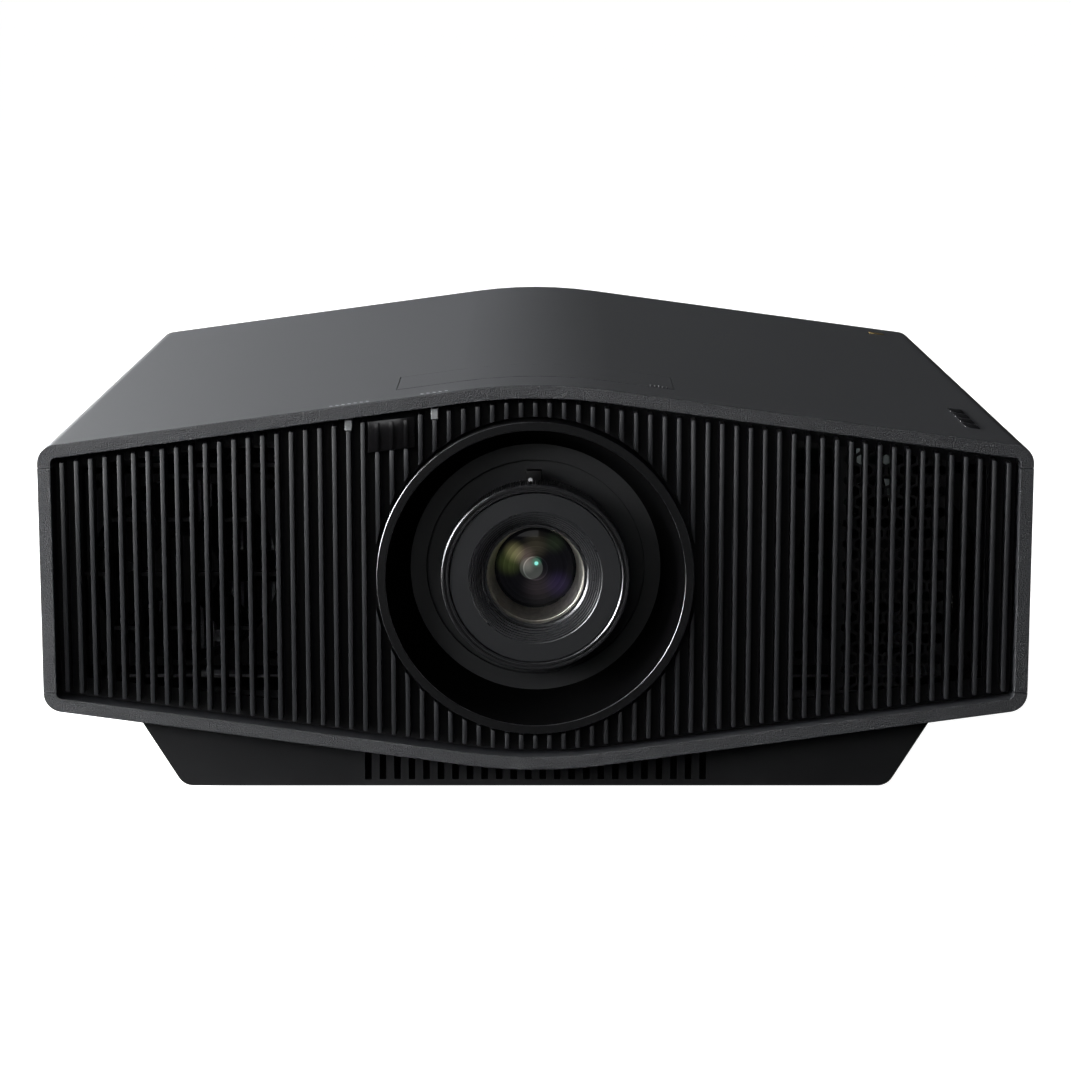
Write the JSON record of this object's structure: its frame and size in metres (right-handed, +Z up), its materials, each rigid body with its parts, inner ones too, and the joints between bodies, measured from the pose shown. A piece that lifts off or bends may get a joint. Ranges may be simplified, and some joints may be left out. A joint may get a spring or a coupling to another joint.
{
  "type": "home cinema projector",
  "caption": "Wide home cinema projector with a ridged casing, slatted front, deep round lens hood, shifting zoom lens and a narrower black base.",
  "frame": {"origin": "on the table under the middle of the casing, level with the bottom of the feet", "axes": "+X to the right seen from in front, +Y towards the back, +Z up; the lens looks along -Y"},
  "size_m": [0.46, 0.472, 0.1976],
  "materials": {
    "casing_paint": "fine satin paint",
    "base_black": "satin",
    "rear_black": "fine texture",
    "filter_foam": "pleated",
    "grille_grey": "satin",
    "window_smoke": "polished smoked",
    "guide_clear": "clear",
    "guard_black": "satin",
    "screen_metal": "black paint",
    "hood_black": "fine satin",
    "lens_paint": "black anodised",
    "front_glass": "coated",
    "lens_cells": "black anodised",
    "mount_alloy": "machined",
    "dial_plastic": "ribbed",
    "tray_steel": "zinc plated",
    "engine_alloy": "cast",
    "prism_glass": "polished",
    "panel_glass": "polished",
    "laser_alloy": "machined",
    "wheel_disc": "coated",
    "motor_steel": "drawn",
    "sink_alloy": "extruded",
    "fan_plastic": "moulded",
    "supply_board": "printed board",
    "main_circuit": "printed board",
    "key_circuit": "printed board",
    "inlet_black": "moulded",
    "socket_steel": "plated",
    "jack_black": "moulded",
    "key_grey": "satin",
    "pad_rubber": "matte",
    "foot_steel": "zinc plated",
    "screw_steel": "black plated",
    "insert_brass": "turned"
  },
  "bodies": {
    "casing": {"upper_shell": "casing_paint", "lower_shell": "casing_paint", "left_side_panel": "casing_paint", "right_side_panel": "casing_paint", "base_pan": "base_black", "rear_panel": "rear_black", "air_filter": "filter_foam", "front_grille": "grille_grey", "infrared_window": "window_smoke", "indicator_lenses": "guide_clear", "exhaust_guard": "guard_black", "lid_hinge_guides": "guard_black", "intake_screen": "screen_metal", "lens_hood": "hood_black", "lens_mount_frame": "mount_alloy", "chassis_tray": "tray_steel", "optical_engine": "engine_alloy", "combiner_prism": "prism_glass", "imaging_panels": "panel_glass", "laser_module": "laser_alloy", "wheel_motor": "motor_steel", "laser_heat_sink": "sink_alloy", "fan_frames": "fan_plastic", "power_supply_board": "supply_board", "main_board": "main_circuit", "control_board": "key_circuit", "power_inlet": "inlet_black", "video_sockets": "socket_steel", "network_socket": "socket_steel", "usb_sockets": "socket_steel", "jack_sockets": "jack_black", "rear_feet": "pad_rubber", "casing_screws": "screw_steel", "mount_inserts": "insert_brass"},
    "filter_door": {"filter_cover": "rear_black"},
    "shift_lid": {"lens_shift_lid": "casing_paint"},
    "side_carriage": {"horizontal_carriage": "mount_alloy"},
    "lift_carriage": {"vertical_carriage": "mount_alloy", "lens_barrel": "lens_paint", "shroud_disc": "hood_black", "rear_lens_group": "lens_cells"},
    "zoom_collar": {"zoom_ring": "lens_paint"},
    "zoom_group": {"zoom_lens_group": "lens_cells"},
    "focus_collar": {"focus_ring": "lens_paint"},
    "front_group": {"front_lens_cell": "lens_paint", "front_glass": "front_glass"},
    "side_wheel": {"horizontal_shift_dial": "dial_plastic"},
    "lift_wheel": {"vertical_shift_dial": "dial_plastic"},
    "phosphor_disc": {"phosphor_wheel": "wheel_disc"},
    "exhaust_fan": {"exhaust_rotor": "fan_plastic"},
    "intake_fan": {"intake_rotor": "fan_plastic"},
    "standby_button": {"standby_key": "key_grey"},
    "input_button": {"input_key": "key_grey"},
    "menu_button": {"menu_key": "key_grey"},
    "arrow_button": {"arrow_key_ring": "key_grey"},
    "enter_button": {"enter_key": "key_grey"},
    "left_pad": {"left_foot_pad": "pad_rubber"},
    "left_screw": {"left_foot_screw": "foot_steel"},
    "right_pad": {"right_foot_pad": "pad_rubber"},
    "right_screw": {"right_foot_screw": "foot_steel"}
  },
  "joints": [
    {"name": "filter_door_hinge", "type": "hinge", "parent": "casing", "child": "filter_door", "pos_m": [-0.125, 0.231, 0.064], "axis": [-1, 0, 0], "range_deg": [0, 90]},
    {"name": "shift_lid_hinge", "type": "hinge", "parent": "casing", "child": "shift_lid", "pos_m": [0, -0.1562, 0.1977], "axis": [-1, 0, 0], "range_deg": [0, 70]},
    {"name": "side_shift", "type": "slide", "parent": "casing", "child": "side_carriage", "axis": [1, 0, 0], "range_m": [-0.0034, 0.0034]},
    {"name": "lift_shift", "type": "slide", "parent": "side_carriage", "child": "lift_carriage", "axis": [0, 0, 1], "range_m": [-0.0057, 0.0057]},
    {"name": "zoom_travel", "type": "slide", "parent": "lift_carriage", "child": "zoom_group", "axis": [0, 1, 0], "range_m": [-0.01, 0.01]},
    {"name": "zoom_turn", "type": "hinge", "parent": "lift_carriage", "child": "zoom_collar", "pos_m": [0, -0.212, 0.1068], "axis": [0, 1, 0], "range_deg": [-25, 25]},
    {"name": "front_travel", "type": "slide", "parent": "lift_carriage", "child": "front_group", "axis": [0, 1, 0], "range_m": [-0.0012, 0.0012]},
    {"name": "focus_turn", "type": "hinge", "parent": "lift_carriage", "child": "focus_collar", "pos_m": [0, -0.2255, 0.1068], "axis": [0, 1, 0], "range_deg": [-30, 30]},
    {"name": "side_wheel_turn", "type": "hinge", "parent": "casing", "child": "side_wheel", "pos_m": [-0.03, -0.18, 0.176], "axis": [0, 1, 0], "range_deg": [-42, 42]},
    {"name": "lift_wheel_turn", "type": "hinge", "parent": "casing", "child": "lift_wheel", "pos_m": [0.03, -0.18, 0.176], "axis": [0, 1, 0], "range_deg": [-70, 70]},
    {"name": "phosphor_spin", "type": "hinge", "parent": "casing", "child": "phosphor_disc", "pos_m": [-0.089, 0.02, 0.1068], "axis": [1, 0, 0], "continuous": true},
    {"name": "exhaust_spin", "type": "hinge", "parent": "casing", "child": "exhaust_fan", "pos_m": [-0.1655, -0.2, 0.1065], "axis": [0, 1, 0], "continuous": true},
    {"name": "intake_spin", "type": "hinge", "parent": "casing", "child": "intake_fan", "pos_m": [0.166, -0.2, 0.1065], "axis": [0, 1, 0], "continuous": true},
    {"name": "standby_press", "type": "slide", "parent": "casing", "child": "standby_button", "axis": [1, 0, 0], "range_m": [0, 0.0008], "stiffness_N_per_m": 900},
    {"name": "input_press", "type": "slide", "parent": "casing", "child": "input_button", "axis": [1, 0, 0], "range_m": [0, 0.0008], "stiffness_N_per_m": 900},
    {"name": "menu_press", "type": "slide", "parent": "casing", "child": "menu_button", "axis": [1, 0, 0], "range_m": [0, 0.0008], "stiffness_N_per_m": 900},
    {"name": "arrow_press", "type": "slide", "parent": "casing", "child": "arrow_button", "axis": [1, 0, 0], "range_m": [0, 0.0008], "stiffness_N_per_m": 900},
    {"name": "enter_press", "type": "slide", "parent": "casing", "child": "enter_button", "axis": [1, 0, 0], "range_m": [0, 0.0008], "stiffness_N_per_m": 900},
    {"name": "left_pad_drop", "type": "slide", "parent": "casing", "child": "left_pad", "axis": [0, 0, -1], "range_m": [0, 0.008]},
    {"name": "left_screw_turn", "type": "hinge", "parent": "left_pad", "child": "left_screw", "pos_m": [-0.135, -0.185, 0.01], "axis": [0, 0, 1], "range_deg": [0, 2304]},
    {"name": "right_pad_drop", "type": "slide", "parent": "casing", "child": "right_pad", "axis": [0, 0, -1], "range_m": [0, 0.008]},
    {"name": "right_screw_turn", "type": "hinge", "parent": "right_pad", "child": "right_screw", "pos_m": [0.135, -0.185, 0.01], "axis": [0, 0, 1], "range_deg": [0, 2304]}
  ],
  "couplings": [
    {"joint": "zoom_turn", "follows": "zoom_travel", "rad_per_m": 43},
    {"joint": "focus_turn", "follows": "front_travel", "rad_per_m": 430},
    {"joint": "side_wheel_turn", "follows": "side_shift", "rad_per_m": -210},
    {"joint": "lift_wheel_turn", "follows": "lift_shift", "rad_per_m": -210},
    {"joint": "left_screw_turn", "follows": "left_pad_drop", "rad_per_m": 5020},
    {"joint": "right_screw_turn", "follows": "right_pad_drop", "rad_per_m": 5020}
  ]
}
